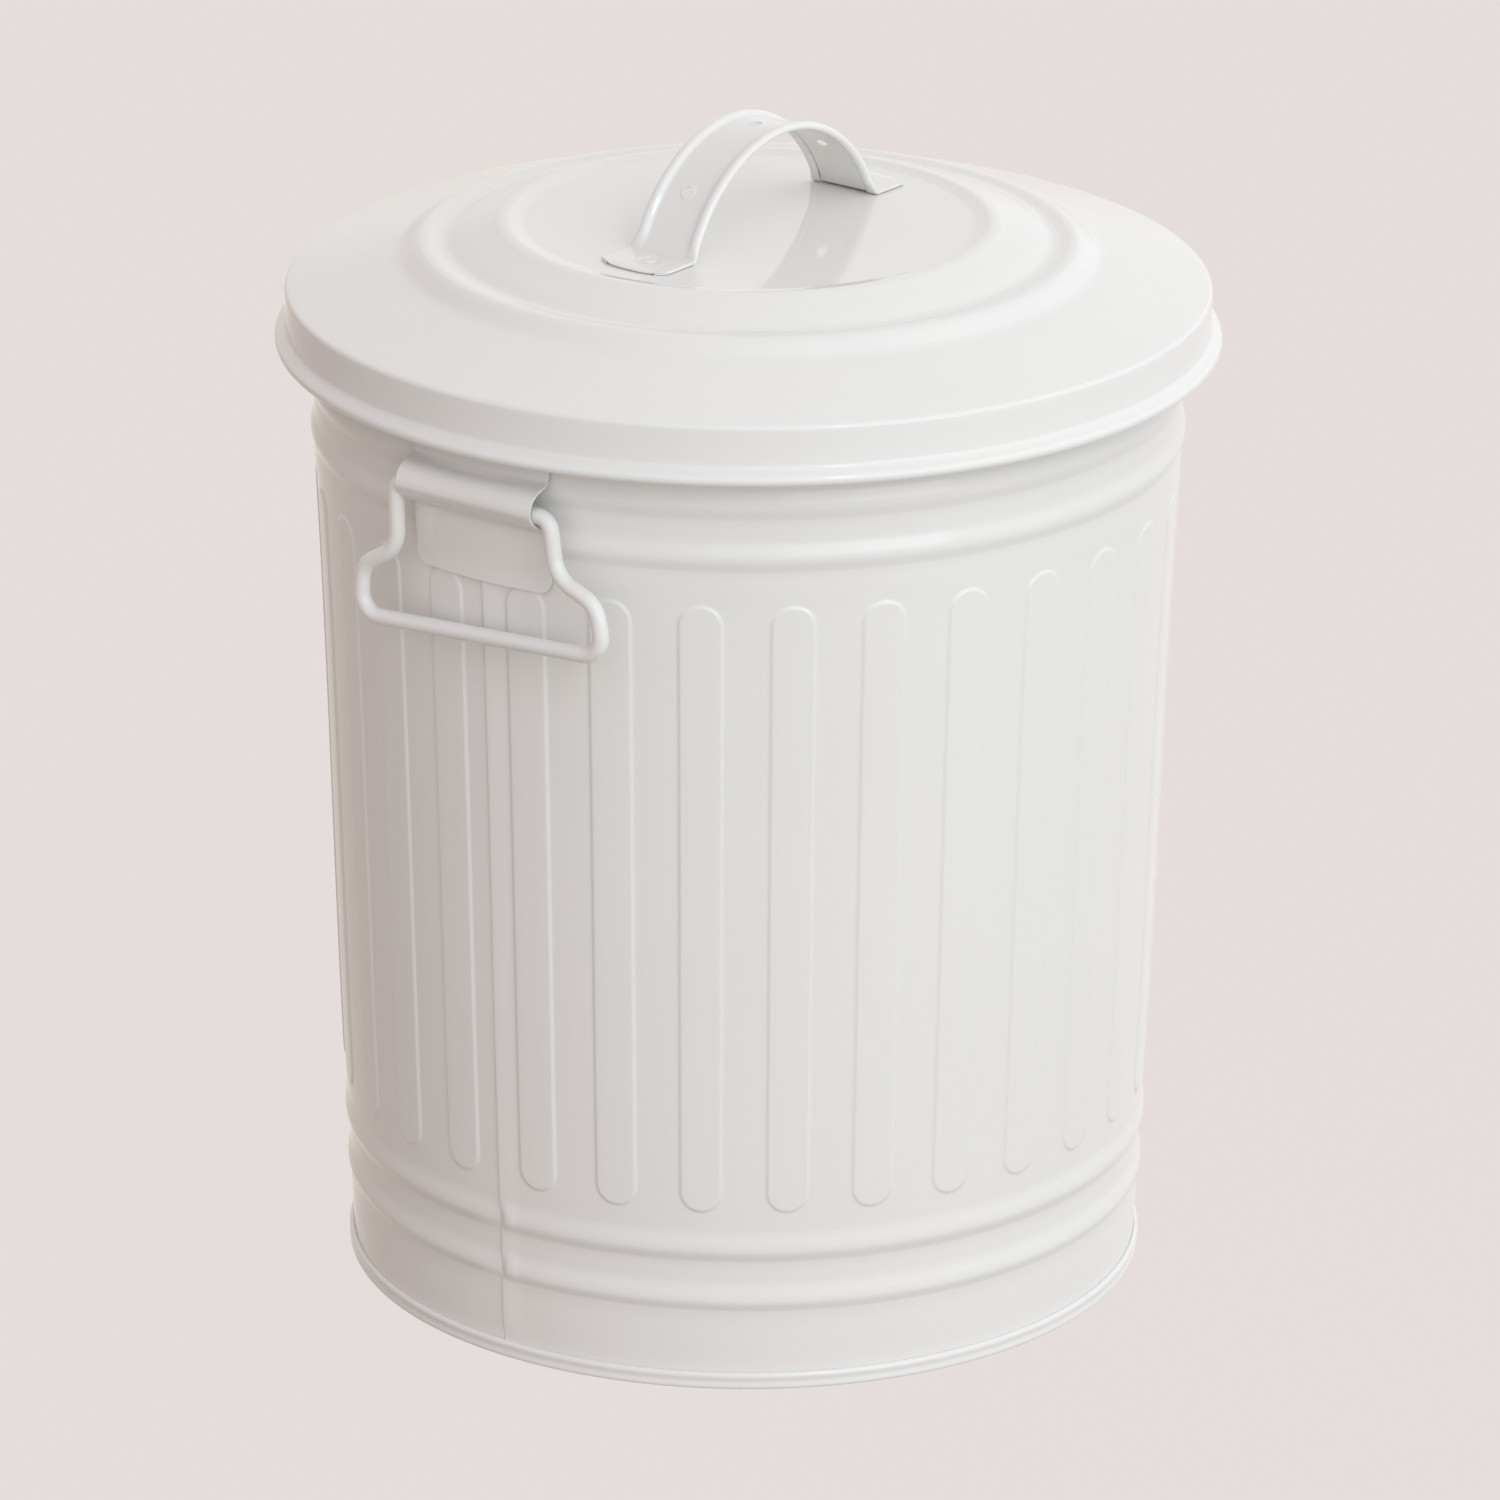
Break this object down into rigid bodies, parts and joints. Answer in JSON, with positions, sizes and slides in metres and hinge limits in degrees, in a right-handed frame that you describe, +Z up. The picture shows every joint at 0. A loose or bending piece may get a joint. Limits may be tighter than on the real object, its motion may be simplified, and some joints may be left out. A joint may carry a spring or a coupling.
{
  "type": "trash can with lid",
  "caption": "Round white enamelled steel trash can with fluted conical body, domed lift-off lid with strap handle, and swinging side bails",
  "frame": {"origin": "centre of the foot ring, on the floor", "axes": "+Z up; the side bails are on -X and +X, the body seam is on -X"},
  "size_m": [0.41, 0.41, 0.5185],
  "materials": {
    "enamel_body": "gloss",
    "enamel_lid": "gloss",
    "enamel_hardware": "gloss",
    "wire_steel": "satin"
  },
  "bodies": {
    "can": {"body_shell": "enamel_body", "base_pan": "enamel_body", "rim_wire": "wire_steel", "bracket_left": "enamel_hardware", "bracket_right": "enamel_hardware"},
    "lid": {"lid_shell": "enamel_lid", "lid_handle": "enamel_hardware", "lid_rivet_left": "enamel_hardware", "lid_rivet_right": "enamel_hardware"},
    "bail_left": {"bail_left": "enamel_hardware"},
    "bail_right": {"bail_right": "enamel_hardware"}
  },
  "joints": [
    {"name": "lid_lift", "type": "slide", "parent": "can", "child": "lid", "axis": [0, 0, 1], "range_m": [0, 0.25]},
    {"name": "bail_left_swing", "type": "hinge", "parent": "can", "child": "bail_left", "pos_m": [-0.19555, 0, 0.3988], "axis": [0, 1, 0], "range_deg": [0, 140]},
    {"name": "bail_right_swing", "type": "hinge", "parent": "can", "child": "bail_right", "pos_m": [0.19555, 0, 0.3988], "axis": [0, -1, 0], "range_deg": [0, 140]}
  ]
}
